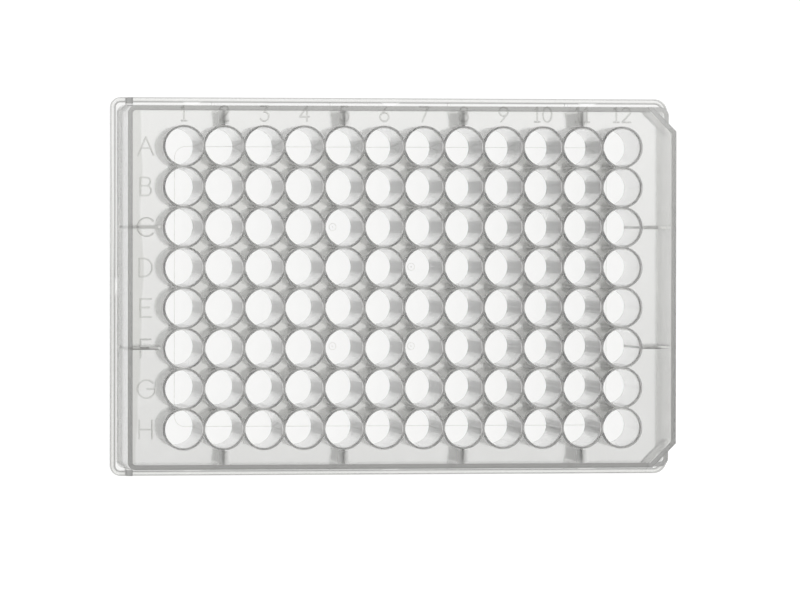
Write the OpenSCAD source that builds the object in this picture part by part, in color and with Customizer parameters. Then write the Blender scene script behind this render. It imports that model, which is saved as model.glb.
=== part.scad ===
// 96-well round-well storage plate, moulded in one piece.
// It stands on its flange with the wells open upwards.
// Origin: middle of the footprint, on the surface that it stands on.
// +X runs along the columns 1 to 12, +Y runs towards row A.

/* [Overall] */
// Distance between the centres of neighbouring wells
pitch = 9; // [7.5:0.1:11]
// Distance from the centres of columns 1 and 12 to the ends of the footprint
end_margin = 14.38; // [12:0.02:18]
// Distance from the centres of rows A and H to the sides of the footprint
side_margin = 11.24; // [9.3:0.02:14]
// Height from the foot of the flange to the well rims
plate_height = 23; // [16:0.1:45]

/* [Flange] */
// Height of the flange from the foot to the top of its ledge
flange_height = 2.5; // [2:0.1:5]
// Thickness of the upright lip of the flange
lip_wall = 1; // [0.8:0.05:1.25]
// Thickness of the ledge that joins the lip to the skirt
ledge_wall = 1.1; // [0.8:0.05:1.5]
// Outside corner radius of the flange at column 1
flange_corner_r = 2.3; // [2:0.1:3.5]
// Outside corner radius of the flange at column 12, under the key chamfers
flange_key_corner_r = 3; // [2:0.1:4.5]
// Length of each stacking pad inside the lip
pad_length = 4.6; // [3:0.1:8]
// How far each stacking pad stands in from the lip
pad_depth = 0.6; // [0.3:0.05:0.9]
// Distance from the plate's middle to the outer pads of the long sides
pad_offset = 45.4; // [30:0.1:50]
// Size of the small chamfer round the flange's outside edges
edge_ease = 0.2; // [0.05:0.05:0.3]

/* [Skirt] */
// How far the top edge of a short side stands in from the footprint
short_side_inset = 1.9; // [1.6:0.05:3]
// How far the top edge of a long side stands in from the footprint
long_side_inset = 2.2; // [1.8:0.05:3]
// How far a short side leans out from its top to its ledge
short_side_lean = 0.5; // [0.3:0.05:0.75]
// How far a long side leans out from its top to its ledge
long_side_lean = 0.45; // [0.3:0.05:0.75]
// Thickness of the skirt at its top edge
skirt_wall_top = 1.1; // [0.8:0.05:1.5]
// Thickness of a short side at its foot
short_wall_foot = 1.15; // [0.8:0.05:1.7]
// Thickness of a long side at its foot
long_wall_foot = 1.1; // [0.8:0.05:1.7]
// Outside corner radius of the skirt
skirt_corner_r = 1.8; // [1.6:0.1:3]
// Outside corner radius of the skirt under the key chamfers
skirt_key_corner_r = 2; // [1.6:0.1:4]
// Length of the key chamfer along each side at corners A12 and H12
key_chamfer = 5.4; // [3:0.1:7]
// How far down from the top the key chamfers reach
key_depth = 10.5; // [5:0.1:12]
// Thickness of the shelf under each key chamfer
key_shelf = 1; // [0.8:0.1:2]

/* [Deck] */
// Thickness of the deck between the wells
deck_wall = 1.1; // [0.8:0.05:2]
// How far the well rims stand above the deck
rim_rise = 0.3; // [0.15:0.05:0.6]

/* [Wells] */
// Width of the plastic left between two neighbouring mouths
mouth_gap = 0.66; // [0.4:0.02:1.2]
// How much smaller a well's radius is at its floor than at its mouth
well_draft = 0.12; // [0.05:0.01:0.4]
// Thickness of a well's wall at its mouth
well_wall_top = 0.55; // [0.45:0.01:0.7]
// Thickness of a well's wall at its floor
well_wall_foot = 0.45; // [0.3:0.01:0.6]
// Thickness of a well's flat floor
floor_wall = 0.8; // [0.6:0.05:1.5]
// Height of the underside of the wells above the foot
well_lift = 3.3; // [0.4:0.1:5]

/* [Webs] */
// Width of the webs that join neighbouring wells under the deck
web_width = 3; // [2:0.1:4]
// Height of the lower edge of the webs above the foot
web_lift = 3.8; // [1:0.1:5.5]

/* [Ribs] */
// Thickness of the ribs between the wells and the skirt
rib_wall = 0.65; // [0.5:0.05:1]
// Height of a rib's lower edge above the foot, at the wells
rib_lift_well = 3; // [1.5:0.1:4]
// Height of a rib's lower edge above the foot, at the skirt
rib_lift_skirt = 0.5; // [0.3:0.1:1.3]

/* [Lugs] */
// Width of the lug on the outside of each long side near column 1
lug_width = 1.3; // [1:0.1:3]
// Height of each lug above the foot
lug_height = 7.5; // [4:0.5:12]
// Distance from the end of the footprint to the middle of each lug
lug_inset = 3.9; // [3.5:0.1:8]

/* [Hidden] */
$fn = 48;
rows = 8;
columns = 12;
skin = 0.01;                    // thickness of the slices that the leaning walls span
bite = 0.2;                     // how far joined shapes run into each other
half_length = (columns - 1) / 2 * pitch + end_margin;
half_width = (rows - 1) / 2 * pitch + side_margin;
mouth_r = (pitch - mouth_gap) / 2;
floor_r = mouth_r - well_draft;
deck_top = plate_height - rim_rise;
deck_foot = deck_top - deck_wall;
ledge_foot = flange_height - ledge_wall;
key_top = plate_height - key_depth;
top_x = half_length - short_side_inset;
top_y = half_width - long_side_inset;
foot_outer_r = floor_r + well_wall_foot;
mouth_outer_r = mouth_r + well_wall_top;
floor_top = well_lift + floor_wall;
lip_inner_x = half_length - lip_wall;
lip_inner_y = half_width - lip_wall;
lip_inner_r = flange_corner_r - lip_wall;
lip_inner_key_r = flange_key_corner_r - lip_wall;
hollow_corner_r = skirt_corner_r - skirt_wall_top;
hollow_key_corner_r = skirt_key_corner_r - skirt_wall_top;
lug_outer_y = half_width - edge_ease;
lug_inner_y = top_y - bite;
pad_r = (pad_length * pad_length / 4 + pad_depth * pad_depth) / (2 * pad_depth);
rib_columns = [1, 4, 7, 10];    // columns 2, 5, 8 and 11
rib_rows = [2, 5];              // rows C and F

// Share of the way down the skirt, from 0 at its top edge to 1 at the ledge
function down(z) = (deck_top - z) / (deck_top - flange_height);
// Half length and half width of the skirt's outside at height z
function outer_x(z) = top_x + down(z) * short_side_lean;
function outer_y(z) = top_y + down(z) * long_side_lean;
// Thickness of the short and of the long sides at height z
function short_wall(z) = skirt_wall_top + down(z) * (short_wall_foot - skirt_wall_top);
function long_wall(z) = skirt_wall_top + down(z) * (long_wall_foot - skirt_wall_top);
// Half length and half width of the skirt's inside at height z
function inner_x(z) = outer_x(z) - short_wall(z);
function inner_y(z) = outer_y(z) - long_wall(z);
// Centre of the well in column c and row r, counted from 0 at A1
function well_x(c) = (c - (columns - 1) / 2) * pitch;
function well_y(r) = ((rows - 1) / 2 - r) * pitch;

// Rectangle of half sizes x and y, with corners of radius r at column 1 and key_r at column 12
module rounded(x, y, r, key_r) {
    polygon([
        [-x, r - y], [r - x, -y], [x - key_r, -y], [x, key_r - y],
        [x, y - key_r], [x - key_r, y], [r - x, y], [-x, y - r]
    ]);
    for (s = [-1, 1]) {
        translate([r - x, s * (y - r)]) circle(r);
        translate([x - key_r, s * (y - key_r)]) circle(key_r);
    }
}

// Slice of the skirt's outside at height z
module outside_slice(z) {
    translate([0, 0, z])
        linear_extrude(skin)
            rounded(outer_x(z), outer_y(z), skirt_corner_r, skirt_key_corner_r);
}

// Slice of the skirt's hollow at height z
module inside_slice(z) {
    translate([0, 0, z])
        linear_extrude(skin)
            rounded(inner_x(z), inner_y(z), hollow_corner_r, hollow_key_corner_r);
}

// Upright blocks that take the corners A12 and H12 off from height z up, leaving t of wall inside
module key_corners(z, t) {
    cut = key_chamfer * sqrt(2) + 2 * t;
    for (s = [-1, 1])
        translate([top_x, s * top_y, z + plate_height / 2]) rotate(45)
            cube([cut, cut, plate_height], center = true);
}

// Outside of the leaning skirt, with the key chamfers
module skirt_outside() {
    difference() {
        hull() {
            outside_slice(ledge_foot);
            outside_slice(deck_top - skin);
        }
        key_corners(key_top, 0);
    }
}

// Hollow inside the skirt, under the deck, the key chamfers and their shelves
module skirt_inside() {
    difference() {
        hull() {
            inside_slice(ledge_foot - bite);
            inside_slice(deck_foot - skin);
        }
        key_corners(key_top - key_shelf, skirt_wall_top);
    }
}

// Slice of the flange's outside at height z, drawn in by ease
module flange_slice(z, ease) {
    translate([0, 0, z])
        linear_extrude(skin)
            rounded(half_length - ease, half_width - ease, flange_corner_r, flange_key_corner_r);
}

// Outside of the flange round the foot
module flange_outside() {
    hull() {
        flange_slice(0, edge_ease);
        flange_slice(edge_ease, 0);
        flange_slice(flange_height - edge_ease - skin, 0);
        flange_slice(flange_height - skin, edge_ease);
    }
}

// Hollow inside the lip and under the ledge, round the stacking pads
module lip_inside() {
    translate([0, 0, -bite])
        linear_extrude(ledge_foot + bite)
            difference() {
                rounded(lip_inner_x, lip_inner_y, lip_inner_r, lip_inner_key_r);
                stacking_pads();
            }
}

// Outlines of the shallow curved pads inside the lip
module stacking_pads() {
    for (x = [-pad_offset, 0, pad_offset], s = [-1, 1])
        translate([x, s * (lip_inner_y - pad_depth + pad_r)]) circle(pad_r);
    for (s = [-1, 1])
        translate([s * (lip_inner_x - pad_depth + pad_r), 0]) circle(pad_r);
}

// Small upright lugs on the ledge of both long sides, near column 1
module lugs() {
    lug_x = lug_inset - half_length;
    lug_y = (lug_outer_y + lug_inner_y) / 2;
    lug_z = (ledge_foot + lug_height) / 2;
    for (s = [-1, 1])
        translate([lug_x, s * lug_y, lug_z])
            cube([lug_width, lug_outer_y - lug_inner_y, lug_height - ledge_foot], center = true);
}

// Skirt, deck, flange and lugs as one hollow shell
module shell() {
    difference() {
        union() {
            skirt_outside();
            flange_outside();
            lugs();
        }
        skirt_inside();
        lip_inside();
    }
}

// One upright rib along +X, from a well's wall at near to the skirt's inside and on to the lip
module rib(near, top_far, foot_far, lip_far) {
    rotate([90, 0, 0])
        linear_extrude(rib_wall, center = true)
            polygon([
                [near, deck_foot + bite],
                [near, rib_lift_well],
                [(near + foot_far) / 2, rib_lift_well],
                [foot_far, rib_lift_skirt],
                [lip_far + bite, rib_lift_skirt],
                [lip_far + bite, ledge_foot + bite],
                [foot_far + bite, ledge_foot + bite],
                [top_far + bite, deck_foot + bite]
            ]);
}

// Ribs from the outer wells to all four sides
module ribs() {
    for (c = rib_columns, s = [-1, 1])
        translate([well_x(c), 0, 0])
            rotate(s * 90)
                rib(well_y(0) + floor_r, inner_y(deck_foot), inner_y(ledge_foot), lip_inner_y);
    for (r = rib_rows, turn = [0, 180])
        translate([0, well_y(r), 0])
            rotate(turn)
                rib(well_x(columns - 1) + floor_r, inner_x(deck_foot), inner_x(ledge_foot), lip_inner_x);
}

// Bars along the rows and columns, which become the webs once the wells are hollowed
module webs() {
    web_height = deck_foot + bite - web_lift;
    translate([0, 0, web_lift + web_height / 2]) {
        for (r = [0:rows - 1])
            translate([0, well_y(r), 0])
                cube([(columns - 1) * pitch, web_width, web_height], center = true);
        for (c = [0:columns - 1])
            translate([well_x(c), 0, 0])
                cube([web_width, (rows - 1) * pitch, web_height], center = true);
    }
}

// Whatever it is given, at the centre of every well
module at_wells() {
    for (r = [0:rows - 1], c = [0:columns - 1])
        translate([well_x(c), well_y(r), 0]) children();
}

// Outside of one well, from its underside to its rim
module well_outside() {
    translate([0, 0, well_lift])
        cylinder(h = plate_height - well_lift, r1 = foot_outer_r, r2 = mouth_outer_r);
}

// Hollow of one well, from its floor to its mouth
module well_hollow() {
    translate([0, 0, floor_top])
        cylinder(h = plate_height - floor_top, r1 = floor_r, r2 = mouth_r);
}

// The whole moulding
module well_plate() {
    color([0.86, 0.86, 0.84, 0.8])
        difference() {
            union() {
                shell();
                ribs();
                webs();
                at_wells() well_outside();
            }
            at_wells() well_hollow();
        }
}

well_plate();
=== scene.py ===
"""A 96-well plate of natural polypropylene, lying on a bright studio floor and seen from above."""

import math

import bmesh
import bpy
import numpy as np
from bpy.props import FloatProperty, FloatVectorProperty, PointerProperty, StringProperty
from bpy.types import Operator, Panel, PropertyGroup
from mathutils import Euler, Matrix, Vector


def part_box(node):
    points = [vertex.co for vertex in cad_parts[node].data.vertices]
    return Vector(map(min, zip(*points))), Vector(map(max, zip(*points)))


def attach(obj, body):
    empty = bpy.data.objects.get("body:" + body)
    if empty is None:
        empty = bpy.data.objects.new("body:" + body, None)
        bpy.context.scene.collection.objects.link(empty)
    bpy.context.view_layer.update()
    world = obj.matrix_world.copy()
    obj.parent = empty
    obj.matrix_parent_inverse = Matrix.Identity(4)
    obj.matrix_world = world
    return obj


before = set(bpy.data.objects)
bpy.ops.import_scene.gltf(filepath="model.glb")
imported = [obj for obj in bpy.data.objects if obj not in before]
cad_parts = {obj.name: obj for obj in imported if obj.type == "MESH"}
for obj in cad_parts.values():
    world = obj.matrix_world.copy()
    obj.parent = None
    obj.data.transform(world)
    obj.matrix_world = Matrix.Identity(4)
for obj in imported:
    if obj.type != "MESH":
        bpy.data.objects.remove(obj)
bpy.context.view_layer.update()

bl_info = {
    "name": "Well Plate",
    "version": (1, 0, 0),
    "blender": (4, 5, 0),
    "location": "3D View > Sidebar > Well Plate",
    "description": "Finishes a moulded 96-well plate, marks its rows and columns, and lights it",
    "category": "Object",
}

MM = 0.001
PLATE = "well_plate"
BODY = "root"
ROW_NAMES = "ABCDEFGH"
COLUMN_NAMES = [str(n) for n in range(1, 13)]
RIB_COLUMNS_APART = 3
POLYPROPYLENE_IOR = 1.49

plate_low, plate_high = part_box(PLATE)
middle = (plate_low + plate_high) / 2
half_size = (plate_high - plate_low) / 2


# Settings

class MouldingSettings(PropertyGroup):
    """Sizes of the moulding, which its finishes and marks are placed by."""

    pitch: FloatProperty(
        name="Pitch", description="Distance between the centres of neighbouring wells",
        default=9 * MM, unit="LENGTH")
    well_radius: FloatProperty(
        name="Well Radius", description="Radius halfway into a well's wall",
        default=4.28 * MM, unit="LENGTH")
    rim_rise: FloatProperty(
        name="Rim Rise", description="How far the well rims stand above the deck",
        default=0.3 * MM, unit="LENGTH")
    well_lift: FloatProperty(
        name="Well Lift", description="Height of the wells' undersides above the floor",
        default=3.3 * MM, unit="LENGTH")
    flange_height: FloatProperty(
        name="Flange Height", description="Height of the flange's ledge above the floor",
        default=2.5 * MM, unit="LENGTH")
    lip_width: FloatProperty(
        name="Lip Width", description="Width of the upright lip round the foot",
        default=1 * MM, unit="LENGTH")
    lip_corner: FloatProperty(
        name="Lip Corner", description="Corner radius of the lip at column 1",
        default=2.3 * MM, unit="LENGTH")
    lip_key_corner: FloatProperty(
        name="Lip Key Corner", description="Corner radius of the lip at column 12",
        default=3 * MM, unit="LENGTH")
    lip_line: FloatProperty(
        name="Lip Line", description="How far the shade along each edge of the lip fades out",
        default=0.32 * MM, unit="LENGTH")
    skirt_inset_x: FloatProperty(
        name="Short Side Inset", description="How far a short side's top stands in from the lip",
        default=1.9 * MM, unit="LENGTH")
    skirt_inset_y: FloatProperty(
        name="Long Side Inset", description="How far a long side's top stands in from the lip",
        default=2.2 * MM, unit="LENGTH")
    skirt_lean: FloatProperty(
        name="Skirt Lean", description="How far the skirt leans out from its top to the ledge",
        default=0.48 * MM, unit="LENGTH")
    skirt_wall: FloatProperty(
        name="Skirt Wall", description="Thickness of the skirt", default=1.1 * MM, unit="LENGTH")
    skirt_corner: FloatProperty(
        name="Skirt Corner", description="Corner radius of the skirt at column 1",
        default=1.8 * MM, unit="LENGTH")
    skirt_key_corner: FloatProperty(
        name="Skirt Key Corner", description="Corner radius of the skirt under the key chamfers",
        default=2 * MM, unit="LENGTH")
    key_chamfer: FloatProperty(
        name="Key Chamfer", description="Length of the key chamfers along each side",
        default=5.4 * MM, unit="LENGTH")
    key_depth: FloatProperty(
        name="Key Depth", description="How far down from the rims the key chamfers reach",
        default=10.5 * MM, unit="LENGTH")
    deck_wall: FloatProperty(
        name="Deck Wall", description="Thickness of the deck", default=1.1 * MM, unit="LENGTH")
    sink_width: FloatProperty(
        name="Sink Width", description="Width of a sink mark on the deck to each side of a rib",
        default=1.4 * MM, unit="LENGTH")


class PlasticSettings(PropertyGroup):
    """Looks of the natural polypropylene."""

    clear_color: FloatVectorProperty(
        name="Clear Colour", description="Colour of the polished plastic in the wells",
        subtype="COLOR", size=3, min=0, max=1, default=(0.99, 0.99, 0.982))
    deck_color: FloatVectorProperty(
        name="Deck Colour", description="Colour of the deck at row A",
        subtype="COLOR", size=3, min=0, max=1, default=(0.88, 0.88, 0.865))
    # Painted shade: the deck darkens from row A to row H.
    cloudy_deck_color: FloatVectorProperty(
        name="Shaded Deck Colour", description="Colour of the deck at row H, darkened by painted shade",
        subtype="COLOR", size=3, min=0, max=1, default=(0.75, 0.75, 0.738))
    # Painted shade: the deck darkens between the wells and in a strip along column 1's wall.
    thick_deck_color: FloatVectorProperty(
        name="Deck Shade Colour", description="Tint of the deck between the wells and along column 1's wall",
        subtype="COLOR", size=3, min=0, max=1, default=(0.88, 0.88, 0.868))
    # Painted shade on the side of each well's outside that faces column 1.
    lee_color: FloatVectorProperty(
        name="Lee Colour", description="Colour of the side of a well's outside that faces column 1",
        subtype="COLOR", size=3, min=0, max=1, default=(0.55, 0.55, 0.543))
    rim_color: FloatVectorProperty(
        name="Rim Colour", description="Colour of the wells' rims",
        subtype="COLOR", size=3, min=0, max=1, default=(1.0, 1.0, 0.985))
    band_color: FloatVectorProperty(
        name="Band Colour", description="Colour of the plate's top edge over the skirt, at row A",
        subtype="COLOR", size=3, min=0, max=1, default=(0.4, 0.4, 0.395))
    # Painted shade: the plate's top edge over the skirt darkens from row A to row H.
    cloudy_band_color: FloatVectorProperty(
        name="Shaded Band Colour", description="Colour of the top edge at row H, darkened by painted shade",
        subtype="COLOR", size=3, min=0, max=1, default=(0.2, 0.2, 0.197))
    # Painted shade: the skirt's outside darkens towards column 1.
    skirt_color: FloatVectorProperty(
        name="Skirt Shade Colour", description="Colour of the skirt's outside at column 1",
        subtype="COLOR", size=3, min=0, max=1, default=(0.66, 0.66, 0.65))
    lip_color: FloatVectorProperty(
        name="Lip Colour", description="Colour of the lip round the foot",
        subtype="COLOR", size=3, min=0, max=1, default=(0.68, 0.68, 0.665))
    # Painted shade along the lip's two edges.
    lip_lines_color: FloatVectorProperty(
        name="Lip Edge Shade Colour", description="Colour of the lip's two edges",
        subtype="COLOR", size=3, min=0, max=1, default=(0.3, 0.3, 0.29))
    ribs_color: FloatVectorProperty(
        name="Rib Colour", description="Colour of the ribs between the wells and the skirt",
        subtype="COLOR", size=3, min=0, max=1, default=(0.5, 0.5, 0.49))
    lugs_color: FloatVectorProperty(
        name="Lug Colour", description="Colour of the two lugs",
        subtype="COLOR", size=3, min=0, max=1, default=(0.28, 0.28, 0.275))
    depth_color: FloatVectorProperty(
        name="Depth Colour", description="Colour that thick plastic takes on",
        subtype="COLOR", size=3, min=0, max=1, default=(0.5, 0.5, 0.47))
    depth_density: FloatProperty(
        name="Depth Density", description="How fast thick plastic takes on its colour, per metre",
        default=25)
    clearness: FloatProperty(
        name="Clearness", description="Share of the light that passes through unscattered",
        subtype="FACTOR", min=0, max=1, default=0.975)
    polish: FloatProperty(
        name="Polished Roughness", description="Roughness of the polished faces",
        subtype="FACTOR", min=0, max=1, default=0.12)
    outside_roughness: FloatProperty(
        name="Well Outside Roughness", description="Roughness of the wells' outsides",
        subtype="FACTOR", min=0, max=1, default=0.2)
    rim_roughness: FloatProperty(
        name="Rim Roughness", description="Roughness of the wells' rims",
        subtype="FACTOR", min=0, max=1, default=0.8)
    band_roughness: FloatProperty(
        name="Band Roughness", description="Roughness of the plate's top edge over the skirt",
        subtype="FACTOR", min=0, max=1, default=0.2)
    ribs_roughness: FloatProperty(
        name="Rib Roughness", description="Roughness of the ribs",
        subtype="FACTOR", min=0, max=1, default=0.22)
    sinks_roughness: FloatProperty(
        name="Sink Roughness", description="Roughness of the deck's sink marks over the ribs",
        subtype="FACTOR", min=0, max=1, default=1.0)
    lugs_roughness: FloatProperty(
        name="Lug Roughness", description="Roughness of the lugs",
        subtype="FACTOR", min=0, max=1, default=0.4)
    # Painted shade: the raised marks are greyer than the plastic round them, in a random mottle.
    mark_color: FloatVectorProperty(
        name="Mark Shade Colour", description="Colour of the raised marks",
        subtype="COLOR", size=3, min=0, max=1, default=(0.88, 0.88, 0.865))
    mark_clearness: FloatProperty(
        name="Mark Clearness", description="Share of the light that passes through the raised marks",
        subtype="FACTOR", min=0, max=1, default=0.96)
    mark_roughness: FloatProperty(
        name="Mark Roughness", description="Roughness of the raised marks",
        subtype="FACTOR", min=0, max=1, default=0.25)


class LetteringSettings(PropertyGroup):
    """Sizes of the raised row letters and column numbers."""

    letter_height: FloatProperty(
        name="Letter Height", description="Height of a row letter", default=4.0 * MM, unit="LENGTH")
    letter_x: FloatProperty(
        name="Letter Place", description="Distance of the row letters from the plate's middle",
        default=58.0 * MM, unit="LENGTH")
    number_height: FloatProperty(
        name="Number Height", description="Height of a column number", default=3.3 * MM, unit="LENGTH")
    number_y: FloatProperty(
        name="Number Place", description="Distance of the numbers' feet from the plate's middle",
        default=37.15 * MM, unit="LENGTH")
    stroke_width: FloatProperty(
        name="Stroke Width", description="Width of a raised stroke", default=0.42 * MM, unit="LENGTH")
    stroke_rise: FloatProperty(
        name="Stroke Rise", description="Height of a raised stroke", default=0.05 * MM, unit="LENGTH")


class MouldMarkSettings(PropertyGroup):
    """Sizes of the marks that the mould leaves under the wells."""

    insert_x: FloatProperty(
        name="Insert Length", description="Half length of the mould insert's outline",
        default=49.5 * MM, unit="LENGTH")
    insert_y: FloatProperty(
        name="Insert Width", description="Half width of the mould insert's outline",
        default=31.6 * MM, unit="LENGTH")
    insert_corner: FloatProperty(
        name="Insert Corner", description="Corner radius of the mould insert's outline",
        default=2.4 * MM, unit="LENGTH")
    line_width: FloatProperty(
        name="Line Width", description="Width of the outline's fine ridge", default=0.2 * MM, unit="LENGTH")
    line_rise: FloatProperty(
        name="Line Rise", description="Height of the outline's fine ridge", default=0.03 * MM, unit="LENGTH")
    line_reach: FloatProperty(
        name="Line Reach", description="How far from a well's axis the ridge runs",
        default=4.1 * MM, unit="LENGTH")
    gate_radius: FloatProperty(
        name="Gate Radius", description="Radius of the ring round a gate mark",
        default=0.8 * MM, unit="LENGTH")
    gated_wells: StringProperty(
        name="Gated Wells", description="Wells with a gate mark under them, parted by spaces",
        default="C5 F5 F7 D7")


class StudioSettings(PropertyGroup):
    """Floor, light and camera."""

    floor_size: FloatProperty(
        name="Floor Size", description="Half the floor's width", default=3.0, unit="LENGTH")
    floor_glow: FloatProperty(
        name="Floor Glow", description="Brightness of the light panel that the plate lies on", default=1.0)
    floor_color: FloatVectorProperty(
        name="Floor Colour", description="Colour of the floor's surface",
        subtype="COLOR", size=3, min=0, max=1, default=(0.2, 0.2, 0.2))
    room_glow: FloatProperty(
        name="Room Glow", description="Brightness of the soft light from all round", default=0.5)
    lens: FloatProperty(
        name="Lens", description="Focal length in millimetres", default=258.3, unit="CAMERA")
    distance: FloatProperty(
        name="Distance", description="From the camera to the point it looks at",
        default=1.2831, unit="LENGTH")
    aim: FloatVectorProperty(
        name="Aim", description="Point that the camera looks at", subtype="TRANSLATION", unit="LENGTH",
        size=3, default=(-0.94 * MM, -2.75 * MM, plate_high.z))
    tilt: FloatVectorProperty(
        name="Tilt", description="How far the camera leans from looking straight down", subtype="EULER",
        unit="ROTATION", size=3, default=tuple(math.radians(a) for a in (-0.896, -8.506, 0.089)))


# Shader helpers

def new_material(name):
    """An empty node material, with its output node."""
    material = bpy.data.materials.new(name)
    material.use_nodes = True
    material.node_tree.nodes.clear()
    output = material.node_tree.nodes.new("ShaderNodeOutputMaterial")
    return material, material.node_tree, output


def new_group(name, inputs, outputs):
    """A shader node group with named float inputs, with their defaults, and float outputs."""
    group = bpy.data.node_groups.new(name, "ShaderNodeTree")
    for label, default in inputs.items():
        socket = group.interface.new_socket(label, in_out="INPUT", socket_type="NodeSocketFloat")
        socket.default_value = default
    for label in outputs:
        group.interface.new_socket(label, in_out="OUTPUT", socket_type="NodeSocketFloat")
    return group, group.nodes.new("NodeGroupInput"), group.nodes.new("NodeGroupOutput")


def math_node(tree, operation, *values):
    """A Math node fed with sockets or plain numbers; returns its output."""
    node = tree.nodes.new("ShaderNodeMath")
    node.operation = operation
    for socket, value in zip(node.inputs, values):
        if isinstance(value, (int, float)):
            socket.default_value = value
        else:
            tree.links.new(value, socket)
    return node.outputs[0]


def above(tree, value, limit):
    """1 where a value is above a limit."""
    return math_node(tree, "GREATER_THAN", value, limit)


def below(tree, value, limit):
    """1 where a value is below a limit."""
    return math_node(tree, "LESS_THAN", value, limit)


def overlap(tree, first, second):
    """1 where two masks are both 1."""
    return math_node(tree, "MULTIPLY", first, second)


def invert(tree, mask):
    """1 where a mask is 0."""
    return math_node(tree, "SUBTRACT", 1.0, mask)


def between(tree, value, low, high):
    """1 where a value lies between two limits."""
    return overlap(tree, above(tree, value, low), below(tree, value, high))


def near_line(tree, value, line, width):
    """1 on a line, fading to 0 at its width."""
    away = math_node(tree, "ABSOLUTE", math_node(tree, "SUBTRACT", value, line))
    share = math_node(tree, "MINIMUM", math_node(tree, "DIVIDE", away, width), 1.0)
    return invert(tree, share)


def place(tree):
    """X, Y and Z of the point that is shaded, in the object's own space."""
    coordinates = tree.nodes.new("ShaderNodeTexCoord")
    split = tree.nodes.new("ShaderNodeSeparateXYZ")
    tree.links.new(coordinates.outputs["Object"], split.inputs[0])
    return split.outputs


def well_grid_group():
    """Masks of the nearest well: inside, outside, the outside's side to column 1, where shade is painted,
    and the rim.
    """
    group, given, result = new_group(
        "Well Grid",
        {"Pitch": 9 * MM, "Well Radius": 4.28 * MM, "Wall Radius": 5 * MM,
         "Half Length": 54 * MM, "Half Width": 36 * MM, "Deck Foot": 19 * MM,
         "Rim Foot": 20.25 * MM},
        ["Inside", "Outside", "Lee", "Rim"])
    x, y, z = place(group)
    pitch = given.outputs["Pitch"]
    offsets = []
    for coordinate, half in ((x, "Half Length"), (y, "Half Width")):
        away = math_node(group, "ABSOLUTE", coordinate)
        wells = math_node(group, "DIVIDE", given.outputs[half], pitch)
        last = math_node(group, "SUBTRACT", wells, 1.0)
        count = math_node(group, "FLOOR", math_node(group, "DIVIDE", away, pitch))
        index = math_node(group, "ADD", math_node(group, "MINIMUM", count, last), 0.5)
        offset = math_node(group, "SUBTRACT", away, math_node(group, "MULTIPLY", index, pitch))
        offsets.append(math_node(group, "MULTIPLY", offset, math_node(group, "SIGN", coordinate)))
    squares = [math_node(group, "MULTIPLY", offset, offset) for offset in offsets]
    radius = math_node(group, "SQRT", math_node(group, "ADD", *squares))
    inside = below(group, radius, given.outputs["Well Radius"])
    wall = overlap(group, below(group, radius, given.outputs["Wall Radius"]), invert(group, inside))
    outside = overlap(group, wall, below(group, z, given.outputs["Deck Foot"]))
    share = math_node(group, "DIVIDE", offsets[0], math_node(group, "MULTIPLY", radius, 2.0))
    lee = overlap(group, outside, math_node(group, "SUBTRACT", 0.5, share))
    on_rim = above(group, z, given.outputs["Rim Foot"])
    for label, mask in (("Inside", inside), ("Outside", outside), ("Lee", lee), ("Rim", on_rim)):
        group.links.new(mask, result.inputs[label])
    return group


def frame_depth_group():
    """How far a point lies in from a rounded rectangle whose +X corners may be cut off."""
    group, given, result = new_group(
        "Frame Depth",
        {"Half Length": half_size.x, "Half Width": half_size.y, "Corner": 2.3 * MM,
         "Key Corner": 3 * MM, "Cut": 0.0},
        ["Depth"])
    x, y, _ = place(group)
    side_x = math_node(group, "ABSOLUTE", x)
    side_y = math_node(group, "ABSOLUTE", y)
    at_key = above(group, x, 0.0)
    rounder = math_node(group, "SUBTRACT", given.outputs["Key Corner"], given.outputs["Corner"])
    corner = math_node(group, "MULTIPLY_ADD", at_key, rounder, given.outputs["Corner"])
    straight_x = math_node(group, "SUBTRACT", given.outputs["Half Length"], corner)
    straight_y = math_node(group, "SUBTRACT", given.outputs["Half Width"], corner)
    over_x = math_node(group, "SUBTRACT", side_x, straight_x)
    over_y = math_node(group, "SUBTRACT", side_y, straight_y)
    squares = []
    for over in (over_x, over_y):
        outward = math_node(group, "MAXIMUM", over, 0.0)
        squares.append(math_node(group, "MULTIPLY", outward, outward))
    round_part = math_node(group, "SQRT", math_node(group, "ADD", *squares))
    flat_part = math_node(group, "MINIMUM", math_node(group, "MAXIMUM", over_x, over_y), 0.0)
    depth = math_node(group, "SUBTRACT", corner, math_node(group, "ADD", round_part, flat_part))
    reach = math_node(group, "ADD", given.outputs["Half Length"], given.outputs["Half Width"])
    beyond = math_node(group, "SUBTRACT", math_node(group, "SUBTRACT", reach, given.outputs["Cut"]),
                       math_node(group, "ADD", x, side_y))
    cut_depth = math_node(group, "DIVIDE", beyond, math.sqrt(2))
    group.links.new(math_node(group, "MINIMUM", depth, cut_depth), result.inputs["Depth"])
    return group


def draw_lines_group():
    """Height of the fine upright lines that a mould's cores draw along the walls."""
    group, given, result = new_group(
        "Draw Lines", {"Across": 2600.0, "Along": 25.0}, ["Height"])
    coordinates = group.nodes.new("ShaderNodeTexCoord")
    scale = group.nodes.new("ShaderNodeCombineXYZ")
    for axis, source in (("X", "Across"), ("Y", "Across"), ("Z", "Along")):
        group.links.new(given.outputs[source], scale.inputs[axis])
    stretch = group.nodes.new("ShaderNodeVectorMath")
    stretch.operation = "MULTIPLY"
    group.links.new(coordinates.outputs["Object"], stretch.inputs[0])
    group.links.new(scale.outputs[0], stretch.inputs[1])
    noise = group.nodes.new("ShaderNodeTexNoise")
    noise.inputs["Scale"].default_value = 1.0
    noise.inputs["Detail"].default_value = 2.0
    group.links.new(stretch.outputs[0], noise.inputs["Vector"])
    group.links.new(noise.outputs["Fac"], result.inputs["Height"])
    return group


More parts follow.
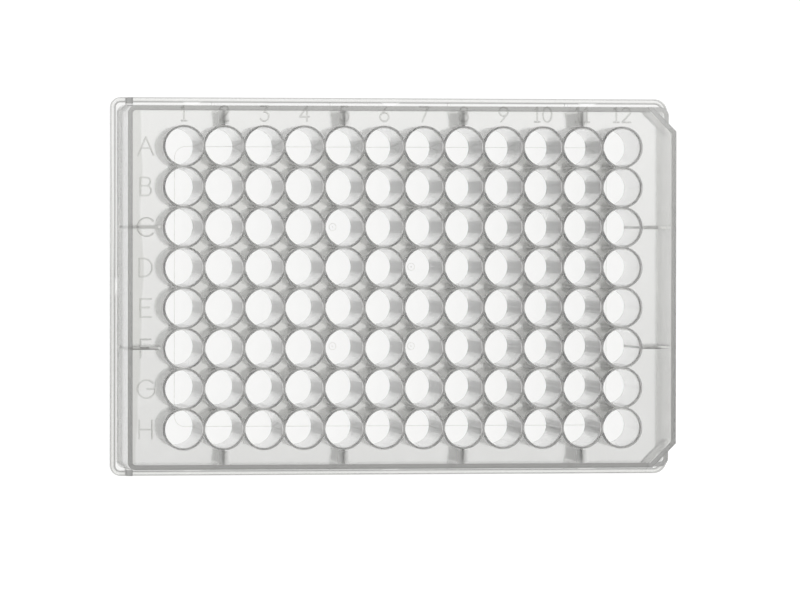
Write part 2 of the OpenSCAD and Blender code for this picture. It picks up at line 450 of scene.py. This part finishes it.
def clouding_group():
    """A soft mottle, for plastic that cooled unevenly, as a value around 0.5."""
    group, given, result = new_group("Clouding", {"Scale": 220.0, "Detail": 4.0}, ["Cloud"])
    coordinates = group.nodes.new("ShaderNodeTexCoord")
    noise = group.nodes.new("ShaderNodeTexNoise")
    group.links.new(coordinates.outputs["Object"], noise.inputs["Vector"])
    group.links.new(given.outputs["Scale"], noise.inputs["Scale"])
    group.links.new(given.outputs["Detail"], noise.inputs["Detail"])
    group.links.new(noise.outputs["Fac"], result.inputs["Cloud"])
    return group


def shared_group(name, maker):
    """The node group of that name, made the first time that it is asked for."""
    return bpy.data.node_groups.get(name) or maker()


def add_group(tree, group, **values):
    """Places a node group in a material, with its own input values."""
    node = tree.nodes.new("ShaderNodeGroup")
    node.node_tree = group
    for label, value in values.items():
        node.inputs[label.replace("_", " ")].default_value = value
    return node.outputs


def mix_color(tree, factor, first, second):
    """Mixes two colours by a mask; either may be a socket or a plain colour."""
    node = tree.nodes.new("ShaderNodeMix")
    node.data_type = "RGBA"
    tree.links.new(factor, node.inputs["Factor"])
    for socket, value in ((node.inputs[6], first), (node.inputs[7], second)):
        if isinstance(value, bpy.types.NodeSocket):
            tree.links.new(value, socket)
        else:
            socket.default_value = (*value, 1)
    return node.outputs[2]


def tint(tree, factor, color, tint_color):
    """Multiplies a colour by a tint, where the mask says so."""
    node = tree.nodes.new("ShaderNodeMix")
    node.data_type = "RGBA"
    node.blend_type = "MULTIPLY"
    tree.links.new(factor, node.inputs["Factor"])
    tree.links.new(color, node.inputs[6])
    node.inputs[7].default_value = (*tint_color, 1)
    return node.outputs[2]


def bump(tree, shader, height, distance, strength):
    """Feeds a shader's normal from a height."""
    node = tree.nodes.new("ShaderNodeBump")
    node.inputs["Distance"].default_value = distance
    node.inputs["Strength"].default_value = strength
    tree.links.new(height, node.inputs["Height"])
    tree.links.new(node.outputs["Normal"], shader.inputs["Normal"])


# Materials

def add_clear_plastic(tree, output, plastic):
    """The see-through shader and the depth colour that every face of the moulding shares."""
    shader = tree.nodes.new("ShaderNodeBsdfPrincipled")
    shader.inputs["Base Color"].default_value = (*plastic.clear_color, 1)
    shader.inputs["Roughness"].default_value = plastic.polish
    shader.inputs["IOR"].default_value = POLYPROPYLENE_IOR
    shader.inputs["Transmission Weight"].default_value = plastic.clearness
    tree.links.new(shader.outputs[0], output.inputs["Surface"])
    depth = tree.nodes.new("ShaderNodeVolumeAbsorption")
    depth.inputs["Color"].default_value = (*plastic.depth_color, 1)
    depth.inputs["Density"].default_value = plastic.depth_density
    tree.links.new(depth.outputs[0], output.inputs["Volume"])
    return shader


# How far a mask reaches past the face that it ends at, or stops short of it
FACE_SLACK = 0.1 * MM  # past a level face
LEDGE_SLACK = 0.05 * MM  # over the flange's ledge
OUTSIDE_REACH = 0.7 * MM  # from the middle of a well's wall to beyond its outside
GRID_CLEARANCE = 0.4 * MM  # from the wells' grid to where the ribs' finish starts
WALL_CLEARANCE = 0.2 * MM  # from the skirt's wall to where the ribs' finish ends
SKIRT_SKIN = 0.3 * MM  # into the skirt from its outside
LUG_REACH = 1.55 * MM  # over the lugs, in from the lip's outside


def moulding_masks(tree, moulding):
    """Where each face of the moulding lies, as masks from 0 to 1."""
    deck_top = plate_high.z - moulding.rim_rise
    deck_foot = deck_top - moulding.deck_wall
    ledge = plate_low.z + moulding.flange_height
    shelf_top = plate_high.z - moulding.key_depth
    half_length = len(COLUMN_NAMES) / 2 * moulding.pitch
    half_width = len(ROW_NAMES) / 2 * moulding.pitch
    x, y, z = place(tree)
    side_x = math_node(tree, "ABSOLUTE", x)
    side_y = math_node(tree, "ABSOLUTE", y)
    wells = add_group(tree, shared_group("Well Grid", well_grid_group),
                      Pitch=moulding.pitch, Well_Radius=moulding.well_radius,
                      Wall_Radius=moulding.well_radius + OUTSIDE_REACH,
                      Half_Length=half_length, Half_Width=half_width,
                      Deck_Foot=deck_foot - FACE_SLACK, Rim_Foot=deck_top + moulding.rim_rise / 2)
    frame_depth = shared_group("Frame Depth", frame_depth_group)
    lip_depth = add_group(tree, frame_depth, Corner=moulding.lip_corner,
                          Key_Corner=moulding.lip_key_corner)["Depth"]
    top_length = half_size.x - moulding.skirt_inset_x
    top_width = half_size.y - moulding.skirt_inset_y
    top_depth = add_group(tree, frame_depth, Half_Length=top_length, Half_Width=top_width,
                          Corner=moulding.skirt_corner, Key_Corner=moulding.skirt_key_corner,
                          Cut=moulding.key_chamfer)["Depth"]
    shelf_lean = moulding.skirt_lean * (deck_top - shelf_top) / (deck_top - ledge)
    shelf_depth = add_group(tree, frame_depth, Half_Length=top_length + shelf_lean,
                            Half_Width=top_width + shelf_lean, Corner=moulding.skirt_corner,
                            Key_Corner=moulding.skirt_key_corner)["Depth"]
    off_wells = invert(tree, wells["Inside"])
    on_top = above(tree, z, deck_top - FACE_SLACK)
    on_shelf = between(tree, z, shelf_top - FACE_SLACK, shelf_top + FACE_SLACK)
    on_lip = below(tree, z, ledge + LEDGE_SLACK)
    # Painted shade along both edges of the lip.
    lip_lines = math_node(tree, "MAXIMUM", near_line(tree, lip_depth, 0.0, moulding.lip_line),
                          near_line(tree, lip_depth, moulding.lip_width, moulding.lip_line))
    over_wall = below(tree, top_depth, moulding.skirt_wall)
    over_low_wall = below(tree, shelf_depth, moulding.skirt_wall)
    within_wall = above(tree, top_depth, moulding.skirt_wall + WALL_CLEARANCE)
    beyond_x = math_node(tree, "SUBTRACT", side_x, half_length + GRID_CLEARANCE)
    beyond_y = math_node(tree, "SUBTRACT", side_y, half_width + GRID_CLEARANCE)
    off_grid = above(tree, math_node(tree, "MAXIMUM", beyond_x, beyond_y), 0.0)
    half_rib_pitch = RIB_COLUMNS_APART * moulding.pitch / 2
    off_rib = math_node(tree, "SUBTRACT", half_rib_pitch,
                        math_node(tree, "PINGPONG", x, half_rib_pitch))
    long_side_deck = overlap(tree, above(tree, beyond_y, 0.0),
                             overlap(tree, on_top, invert(tree, over_wall)))
    return {
        "outside": wells["Outside"],
        "lee": wells["Lee"],
        "rim": overlap(tree, wells["Rim"], off_wells),
        "deck": overlap(tree, above(tree, z, deck_foot - FACE_SLACK), off_wells),
        "among_wells": overlap(tree, below(tree, side_x, half_length - moulding.pitch / 2),
                               below(tree, side_y, half_width - moulding.pitch / 2)),
        "skirt": overlap(tree, below(tree, top_depth, SKIRT_SKIN),
                         between(tree, z, ledge + LEDGE_SLACK, deck_top - FACE_SLACK)),
        "band": math_node(tree, "MAXIMUM", overlap(tree, over_wall, on_top),
                          overlap(tree, over_low_wall, on_shelf)),
        "lip": overlap(tree, on_lip, below(tree, lip_depth, moulding.lip_width)),
        "lip_lines": overlap(tree, on_lip, lip_lines),
        "ribs": overlap(tree, overlap(tree, off_grid, within_wall),
                        below(tree, z, deck_foot - FACE_SLACK)),
        "sinks": overlap(tree, near_line(tree, off_rib, 0.0, moulding.sink_width), long_side_deck),
        "lugs": overlap(tree, above(tree, side_y, half_size.y - LUG_REACH), invert(tree, on_lip)),
    }


# Mottle of the deck, and the strip of painted shade on it along column 1's wall
MOTTLE_LEAST = 0.75  # least share of the deck's colour
MOTTLE_SPAN = 0.5  # how much the mottle adds to that share
STRIP_DRIFT = 5 * MM  # how far the strip's edge drifts
STRIP_SETBACK = 0.8 * MM  # how far behind the wall's inside the drift starts
STRIP_FADE = 0.4 * MM  # width over which the strip fades out
STRIP_SCALE = 45.0  # how finely its edge drifts


def wall_strip(tree, moulding, x):
    """The strip of painted shade on the deck along column 1's wall, with an edge that drifts."""
    wall_x = -half_size.x + moulding.skirt_inset_x + moulding.skirt_wall
    drift = add_group(tree, shared_group("Clouding", clouding_group),
                      Scale=STRIP_SCALE, Detail=1.0)["Cloud"]
    edge = math_node(tree, "MULTIPLY_ADD", drift, STRIP_DRIFT, wall_x - STRIP_SETBACK)
    share = math_node(tree, "DIVIDE", math_node(tree, "SUBTRACT", edge, x), STRIP_FADE)
    return math_node(tree, "MINIMUM", math_node(tree, "MAXIMUM", share, 0.0), 1.0)


def moulding_material(moulding, plastic):
    """One clear plastic: polished walls, a cloudier deck, and duller rims, ribs, edges and lugs, with
    painted shade on the deck and top edge towards row H, between the wells, along column 1's wall, on the
    skirt and the wells' outsides towards column 1, and along the lip's edges.
    """
    material, tree, output = new_material("natural_polypropylene")
    shader = add_clear_plastic(tree, output, plastic)
    masks = moulding_masks(tree, moulding)
    x, y, _ = place(tree)
    to_row_h = math_node(tree, "MULTIPLY_ADD", y, -0.5 / half_size.y, 0.5)
    to_column_1 = math_node(tree, "MULTIPLY_ADD", x, -0.5 / half_size.x, 0.5)
    cloud = add_group(tree, shared_group("Clouding", clouding_group))["Cloud"]
    mottle = math_node(tree, "MULTIPLY_ADD", cloud, MOTTLE_SPAN, MOTTLE_LEAST)
    # Painted shade: the deck darkens from row A to row H.
    deck_color = mix_color(tree, to_row_h, plastic.deck_color, plastic.cloudy_deck_color)
    color = mix_color(tree, overlap(tree, masks["deck"], mottle), plastic.clear_color, deck_color)
    # Painted shade: the deck darkens between the wells and in a strip along column 1's wall.
    thick = math_node(tree, "MAXIMUM", masks["among_wells"], wall_strip(tree, moulding, x))
    color = tint(tree, overlap(tree, masks["deck"], thick), color, plastic.thick_deck_color)
    # Painted shade: the top edge over the skirt darkens from row A to row H.
    band_color = mix_color(tree, to_row_h, plastic.band_color, plastic.cloudy_band_color)
    color = mix_color(tree, masks["band"], color, band_color)
    # Painted shade: the skirt's outside darkens towards column 1.
    shaded_skirt = overlap(tree, masks["skirt"], to_column_1)
    color = mix_color(tree, shaded_skirt, color, plastic.skirt_color)
    # Painted shade on the side of each well's outside that faces column 1, and along the lip's two edges.
    for face in ("lee", "rim", "lip", "lip_lines", "ribs", "lugs"):
        color = mix_color(tree, masks[face], color, getattr(plastic, face + "_color"))
    tree.links.new(color, shader.inputs["Base Color"])
    roughness = plastic.polish
    for face in ("outside", "rim", "band", "ribs", "sinks", "lugs"):
        step = getattr(plastic, face + "_roughness") - plastic.polish
        roughness = math_node(tree, "MULTIPLY_ADD", masks[face], step, roughness)
    tree.links.new(roughness, shader.inputs["Roughness"])
    lines = add_group(tree, shared_group("Draw Lines", draw_lines_group))["Height"]
    bump(tree, shader, lines, distance=0.02 * MM, strength=0.25)
    return material


def mark_material(plastic):
    """The same plastic on the raised marks, with painted shade in a fine, slightly greyer mottle."""
    material, tree, output = new_material("raised_polypropylene")
    shader = add_clear_plastic(tree, output, plastic)
    cloud = add_group(tree, shared_group("Clouding", clouding_group), Scale=900.0)["Cloud"]
    # Painted shade in a random mottle on the raised marks.
    color = mix_color(tree, cloud, plastic.clear_color, plastic.mark_color)
    tree.links.new(color, shader.inputs["Base Color"])
    shader.inputs["Transmission Weight"].default_value = plastic.mark_clearness
    shader.inputs["Roughness"].default_value = plastic.mark_roughness
    lines = add_group(tree, shared_group("Draw Lines", draw_lines_group))["Height"]
    bump(tree, shader, lines, distance=0.01 * MM, strength=0.3)
    return material


def floor_material(studio):
    """A pale light panel."""
    material, tree, output = new_material("light_panel")
    shader = tree.nodes.new("ShaderNodeBsdfPrincipled")
    shader.inputs["Base Color"].default_value = (*studio.floor_color, 1)
    shader.inputs["Roughness"].default_value = 0.7
    shader.inputs["Specular IOR Level"].default_value = 0.0
    shader.inputs["Emission Color"].default_value = (1, 1, 1, 1)
    shader.inputs["Emission Strength"].default_value = studio.floor_glow
    tree.links.new(shader.outputs[0], output.inputs["Surface"])
    return material


# Strokes and glyphs

def arc(x, y, width, height, start, end, steps=10):
    """Points along an ellipse centred on x, y, from the start to the end angle in degrees."""
    angles = [math.radians(start + (end - start) * k / steps) for k in range(steps + 1)]
    return [(x + width * math.cos(a), y + height * math.sin(a)) for a in angles]


# Each glyph is drawn in a box 1 unit high: its width, then its strokes.
GLYPHS = {
    "A": (0.85, [[(0, 0), (0.425, 1), (0.85, 0)], [(0.16, 0.38), (0.69, 0.38)]]),
    "B": (0.62, [[(0.35, 1), (0, 1), (0, 0), (0.37, 0)], [(0, 0.54), (0.36, 0.54)],
                 arc(0.35, 0.77, 0.22, 0.23, 90, -90), arc(0.36, 0.27, 0.26, 0.27, 90, -90)]),
    "C": (0.92, [arc(0.5, 0.5, 0.5, 0.5, 42, 318, 22)]),
    "D": (0.72, [[(0.24, 1), (0, 1), (0, 0), (0.24, 0)], arc(0.24, 0.5, 0.48, 0.5, 90, -90, 16)]),
    "E": (0.62, [[(0.62, 1), (0, 1), (0, 0), (0.62, 0)], [(0, 0.53), (0.5, 0.53)]]),
    "F": (0.58, [[(0.58, 1), (0, 1), (0, 0)], [(0, 0.53), (0.46, 0.53)]]),
    "G": (0.92, [arc(0.5, 0.5, 0.5, 0.5, 42, 360, 24) + [(0.55, 0.5)]]),
    "H": (0.72, [[(0, 0), (0, 1)], [(0.72, 0), (0.72, 1)], [(0, 0.5), (0.72, 0.5)]]),
    "0": (0.6, [arc(0.3, 0.5, 0.3, 0.5, 90, 450, 28)]),
    "1": (0.36, [[(0.02, 0.84), (0.18, 1), (0.18, 0)], [(0, 0), (0.36, 0)]]),
    "2": (0.58, [arc(0.29, 0.72, 0.28, 0.28, 165, -35, 14) + [(0, 0), (0.58, 0)]]),
    "3": (0.6, [[(0.03, 1), (0.56, 1), (0.26, 0.62)] + arc(0.29, 0.31, 0.31, 0.31, 80, -150, 16)]),
    "4": (0.64, [[(0.5, 0), (0.5, 1), (0, 0.3), (0.64, 0.3)]]),
    "5": (0.58, [[(0.53, 1), (0.08, 1), (0.05, 0.58)] + arc(0.27, 0.32, 0.31, 0.32, 125, -150, 16)]),
    "6": (0.6, [[(0.47, 1), (0.06, 0.47)] + arc(0.3, 0.3, 0.3, 0.3, 145, 505, 24)]),
    "7": (0.58, [[(0, 1), (0.58, 1), (0.16, 0)]]),
    "8": (0.6, [arc(0.3, 0.77, 0.23, 0.23, 270, 630, 22), arc(0.3, 0.27, 0.3, 0.27, 90, 450, 24)]),
    "9": (0.6, [[(0.13, 0), (0.54, 0.53)] + arc(0.3, 0.7, 0.3, 0.3, -35, 325, 24)]),
}
GLYPH_GAP = 0.22  # space between two glyphs, as a share of their height
LEAST_SQUARE = 1e-18  # least squared length that a run is divided by
TOUCHING = 1e-7  # gap under which two runs are one path
SUNK_SHARE = 0.25  # share of a mark's height that is sunk into its face
SHARP_ANGLE = math.radians(50)  # angle over which an edge of a mark stays sharp


def nearest_on_paths(spots, paths):
    """The nearest point on any of the paths to each spot, and how far away it is."""
    nearest = np.zeros_like(spots)
    away = np.full(len(spots), np.inf)
    for path in paths:
        points = np.array([tuple(point) for point in path])
        for start, run in zip(points, np.diff(points, axis=0)):
            share = np.clip((spots - start) @ run / max(run @ run, LEAST_SQUARE), 0, 1)
            foot = start + share[:, None] * run
            distance = np.linalg.norm(spots - foot, axis=1)
            closer = distance < away
            nearest[closer], away[closer] = foot[closer], distance[closer]
    return nearest, away


def add_beads(mesh, paths, width, rise, level, cells_across):
    """Adds one closed relief whose bell-shaped beads follow all the paths, sunk a little into level."""
    half, cell = width / 2, width / cells_across
    corners = np.array([tuple(point) for path in paths for point in path])
    low = corners.min(axis=0) - half - cell
    count_x, count_y = np.ceil((corners.max(axis=0) + half - low) / cell).astype(int) + 2
    steps = np.stack(np.meshgrid(np.arange(count_x), np.arange(count_y), indexing="ij"), axis=-1)
    spots = low + cell * steps.reshape(-1, 2)
    nearest, away = nearest_on_paths(spots, paths)
    covered = away.reshape(count_x, count_y) < half
    kept = covered[:-1, :-1] | covered[1:, :-1] | covered[:-1, 1:] | covered[1:, 1:]
    spots = nearest + (spots - nearest) / np.maximum(away / half, 1)[:, None]
    tops = level + rise * (0.5 + 0.5 * np.cos(np.pi * np.minimum(away / half, 1)))
    upper, lower, edges = {}, {}, {}
    for i, j in zip(*np.nonzero(kept)):
        loop = [i * count_y + j, (i + 1) * count_y + j, (i + 1) * count_y + j + 1, i * count_y + j + 1]
        for k in loop:
            if k not in upper:
                upper[k] = mesh.verts.new((*spots[k], tops[k]))
                lower[k] = mesh.verts.new((*spots[k], level - SUNK_SHARE * rise))
        mesh.faces.new([upper[k] for k in loop])
        mesh.faces.new([lower[k] for k in reversed(loop)])
        for edge in zip(loop, loop[1:] + loop[:1]):
            if edge[::-1] in edges:
                del edges[edge[::-1]]
            else:
                edges[edge] = True
    for first, second in edges:
        mesh.faces.new((upper[second], upper[first], lower[first], lower[second]))


def finish_mesh(name, mesh, material):
    """Turns a bmesh into a smooth object that rides on the plate."""
    bmesh.ops.recalc_face_normals(mesh, faces=mesh.faces)
    data = bpy.data.meshes.new(name)
    mesh.to_mesh(data)
    mesh.free()
    data.materials.append(material)
    piece = bpy.data.objects.new(name, data)
    bpy.context.scene.collection.objects.link(piece)
    data.shade_smooth()
    data.set_sharp_from_angle(angle=SHARP_ANGLE)
    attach(piece, BODY)


def add_text(name, text, centre_x, foot_y, height, lettering, material, level):
    """One raised letter or number, centred on centre_x with its foot at foot_y."""
    widths = [GLYPHS[character][0] for character in text]
    left = centre_x - height * (sum(widths) + GLYPH_GAP * (len(text) - 1)) / 2
    mesh = bmesh.new()
    for character, width in zip(text, widths):
        paths = [[(left + x * height, foot_y + y * height) for x, y in stroke]
                 for stroke in GLYPHS[character][1]]
        add_beads(mesh, paths, lettering.stroke_width, lettering.stroke_rise, level, cells_across=6)
        left += height * (width + GLYPH_GAP)
    finish_mesh(name, mesh, material)


def shared_mark_material(scene):
    """The material of the raised marks, made the first time that it is asked for."""
    return bpy.data.materials.get("raised_polypropylene") or mark_material(scene.well_plate_plastic)


def well_centre(row, column, pitch):
    """Centre of a well, with row and column counted from 0 at A1."""
    return (middle.x + (column - (len(COLUMN_NAMES) - 1) / 2) * pitch,
            middle.y + ((len(ROW_NAMES) - 1) / 2 - row) * pitch)


# Operators

class WELLPLATE_OT_finish_moulding(Operator):
    """Gives the moulding its polished, cloudy and matte faces, and its painted shade"""

    bl_idname = "well_plate.finish_moulding"
    bl_label = "Finish the Moulding"

    def execute(self, context):
        scene = context.scene
        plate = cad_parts[PLATE]
        material = moulding_material(scene.well_plate_moulding, scene.well_plate_plastic)
        if not plate.material_slots:
            raise RuntimeError("the moulding has no material slot")
        for material_slot in plate.material_slots:
            material_slot.material = material
        return {"FINISHED"}


class WELLPLATE_OT_add_row_letters(Operator):
    """Raises a row letter on the deck, beside column 1 of every row"""

    bl_idname = "well_plate.add_row_letters"
    bl_label = "Add the Row Letters"

    def execute(self, context):
        scene = context.scene
        moulding, lettering = scene.well_plate_moulding, scene.well_plate_lettering
        material = shared_mark_material(scene)
        level = plate_high.z - moulding.rim_rise
        for row, letter in enumerate(ROW_NAMES):
            _, y = well_centre(row, 0, moulding.pitch)
            add_text(f"row_letter_{letter}", letter, middle.x - lettering.letter_x,
                     y - lettering.letter_height / 2, lettering.letter_height,
                     lettering, material, level)
        return {"FINISHED"}


class WELLPLATE_OT_add_column_numbers(Operator):
    """Raises a column number on the deck, between row A and the plate's edge"""

    bl_idname = "well_plate.add_column_numbers"
    bl_label = "Add the Column Numbers"

    def execute(self, context):
        scene = context.scene
        moulding, lettering = scene.well_plate_moulding, scene.well_plate_lettering
        material = shared_mark_material(scene)
        level = plate_high.z - moulding.rim_rise
        for column, number in enumerate(COLUMN_NAMES):
            x, _ = well_centre(0, column, moulding.pitch)
            add_text(f"column_number_{number}", number, x, middle.y + lettering.number_y,
                     lettering.number_height, lettering, material, level)
        return {"FINISHED"}


def insert_outline(marks):
    """Points of the mould insert's outline, a rounded rectangle, as one closed path."""
    points = []
    reach_x, reach_y = marks.insert_x - marks.insert_corner, marks.insert_y - marks.insert_corner
    for x, y, start in ((1, 1, 0), (-1, 1, 90), (-1, -1, 180), (1, -1, 270)):
        points += arc(middle.x + x * reach_x, middle.y + y * reach_y,
                      marks.insert_corner, marks.insert_corner, start, start + 90, steps=8)
    return points + points[:1]


def clip_to_circle(start, end, centre, radius):
    """The part of a straight run that lies in a circle, or None."""
    start, end, centre = Vector(start), Vector(end), Vector(centre)
    along = end - start
    offset = start - centre
    a, b, c = along.dot(along), 2 * offset.dot(along), offset.dot(offset) - radius * radius
    square = b * b - 4 * a * c
    if a == 0 or square <= 0:
        return None
    root = math.sqrt(square)
    first = max((-b - root) / (2 * a), 0.0)
    last = min((-b + root) / (2 * a), 1.0)
    if first >= last:
        return None
    return start + along * first, start + along * last


def paths_in_circle(outline, centre, radius):
    """The stretches of an outline that cross a well's underside."""
    paths = []
    for start, end in zip(outline, outline[1:]):
        piece = clip_to_circle(start, end, centre, radius)
        if piece is None:
            continue
        if paths and (paths[-1][-1] - piece[0]).length < TOUCHING:
            paths[-1].append(piece[1])
        else:
            paths.append(list(piece))
    return paths


class WELLPLATE_OT_add_insert_outline(Operator):
    """Leaves the fine line of the mould's insert on the undersides of the wells that it crosses"""

    bl_idname = "well_plate.add_insert_outline"
    bl_label = "Add the Insert Outline"

    def execute(self, context):
        scene = context.scene
        moulding, marks = scene.well_plate_moulding, scene.well_plate_marks
        material = shared_mark_material(scene)
        level = plate_low.z + moulding.well_lift
        outline = insert_outline(marks)
        for row, letter in enumerate(ROW_NAMES):
            for column, number in enumerate(COLUMN_NAMES):
                centre = well_centre(row, column, moulding.pitch)
                paths = paths_in_circle(outline, centre, marks.line_reach)
                if not paths:
                    continue
                mesh = bmesh.new()
                add_beads(mesh, paths, marks.line_width, -marks.line_rise, level, cells_across=4)
                finish_mesh(f"insert_line_{letter}{number}", mesh, material)
        return {"FINISHED"}


NIB_SHARE = 0.12  # half length of a gate's nib, as a share of its ring's radius
NIB_SCALE = 3  # width of the nib in half lengths, and its height in ridge heights


class WELLPLATE_OT_add_gate_marks(Operator):
    """Leaves a small ring where plastic flowed in under each gated well"""

    bl_idname = "well_plate.add_gate_marks"
    bl_label = "Add the Gate Marks"

    def execute(self, context):
        scene = context.scene
        moulding, marks = scene.well_plate_moulding, scene.well_plate_marks
        material = shared_mark_material(scene)
        level = plate_low.z + moulding.well_lift
        for name in marks.gated_wells.split():
            row, column = ROW_NAMES.index(name[0]), COLUMN_NAMES.index(name[1:])
            x, y = well_centre(row, column, moulding.pitch)
            mesh = bmesh.new()
            ring = arc(x, y, marks.gate_radius, marks.gate_radius, 0, 360, steps=28)
            add_beads(mesh, [ring], marks.line_width, -marks.line_rise, level, cells_across=4)
            nib = marks.gate_radius * NIB_SHARE
            add_beads(mesh, [[(x - nib, y), (x + nib, y)]], NIB_SCALE * nib,
                      -NIB_SCALE * marks.line_rise, level, cells_across=6)
            finish_mesh(f"gate_mark_{name}", mesh, material)
        return {"FINISHED"}


class WELLPLATE_OT_build_stage(Operator):
    """Lays the light panel, lights the room softly and places the camera"""

    bl_idname = "well_plate.build_stage"
    bl_label = "Build the Stage"

    def execute(self, context):
        studio = context.scene.well_plate_studio
        mesh = bmesh.new()
        bmesh.ops.create_grid(mesh, x_segments=1, y_segments=1, size=studio.floor_size)
        data = bpy.data.meshes.new("floor")
        mesh.to_mesh(data)
        mesh.free()
        data.materials.append(floor_material(studio))
        floor = bpy.data.objects.new("floor", data)
        floor.location.z = plate_low.z
        context.scene.collection.objects.link(floor)
        world = bpy.data.worlds.new("soft_room")
        world.use_nodes = True
        background = world.node_tree.nodes["Background"]
        background.inputs["Color"].default_value = (1, 1, 1, 1)
        background.inputs["Strength"].default_value = studio.room_glow
        context.scene.world = world
        context.scene.view_settings.view_transform = "Standard"
        self.add_camera(context, studio)
        return {"FINISHED"}

    def add_camera(self, context, studio):
        """Looks down on the plate, from a little beyond column 1's side."""
        data = bpy.data.cameras.new("camera")
        data.lens = studio.lens
        data.clip_end = 10 * studio.distance
        camera = bpy.data.objects.new("camera", data)
        context.scene.collection.objects.link(camera)
        turn = Euler(studio.tilt, "XYZ").to_matrix()
        place_at = Vector(studio.aim) + turn @ Vector((0, 0, studio.distance))
        camera.matrix_world = Matrix.Translation(place_at) @ turn.to_4x4()
        context.scene.camera = camera


# Panel and registration

OPERATORS = (
    WELLPLATE_OT_finish_moulding,
    WELLPLATE_OT_add_row_letters,
    WELLPLATE_OT_add_column_numbers,
    WELLPLATE_OT_add_insert_outline,
    WELLPLATE_OT_add_gate_marks,
    WELLPLATE_OT_build_stage,
)
SETTINGS = {
    "well_plate_moulding": MouldingSettings,
    "well_plate_plastic": PlasticSettings,
    "well_plate_lettering": LetteringSettings,
    "well_plate_marks": MouldMarkSettings,
    "well_plate_studio": StudioSettings,
}


class WELLPLATE_PT_panel(Panel):
    """Steps that finish the plate, and the settings that they use"""

    bl_idname = "WELLPLATE_PT_panel"
    bl_label = "Well Plate"
    bl_space_type = "VIEW_3D"
    bl_region_type = "UI"
    bl_category = "Well Plate"

    def draw(self, context):
        for operator in OPERATORS:
            self.layout.operator(operator.bl_idname)
        for label in SETTINGS:
            settings = getattr(context.scene, label)
            box = self.layout.box()
            for setting in settings.bl_rna.properties:
                if setting.identifier not in ("rna_type", "name"):
                    box.prop(settings, setting.identifier)


def register():
    """Registers the settings, the operators and the panel."""
    for label, settings in SETTINGS.items():
        bpy.utils.register_class(settings)
        setattr(bpy.types.Scene, label, PointerProperty(type=settings))
    for operator in OPERATORS:
        bpy.utils.register_class(operator)
    bpy.utils.register_class(WELLPLATE_PT_panel)


def unregister():
    """Takes back all that register adds."""
    bpy.utils.unregister_class(WELLPLATE_PT_panel)
    for operator in reversed(OPERATORS):
        bpy.utils.unregister_class(operator)
    for label, settings in reversed(SETTINGS.items()):
        delattr(bpy.types.Scene, label)
        bpy.utils.unregister_class(settings)


def main():
    """Finishes the moulding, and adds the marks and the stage."""
    register()
    bpy.ops.well_plate.finish_moulding()
    bpy.ops.well_plate.add_row_letters()
    bpy.ops.well_plate.add_column_numbers()
    bpy.ops.well_plate.add_insert_outline()
    bpy.ops.well_plate.add_gate_marks()
    bpy.ops.well_plate.build_stage()


if __name__ == "__main__":
    main()
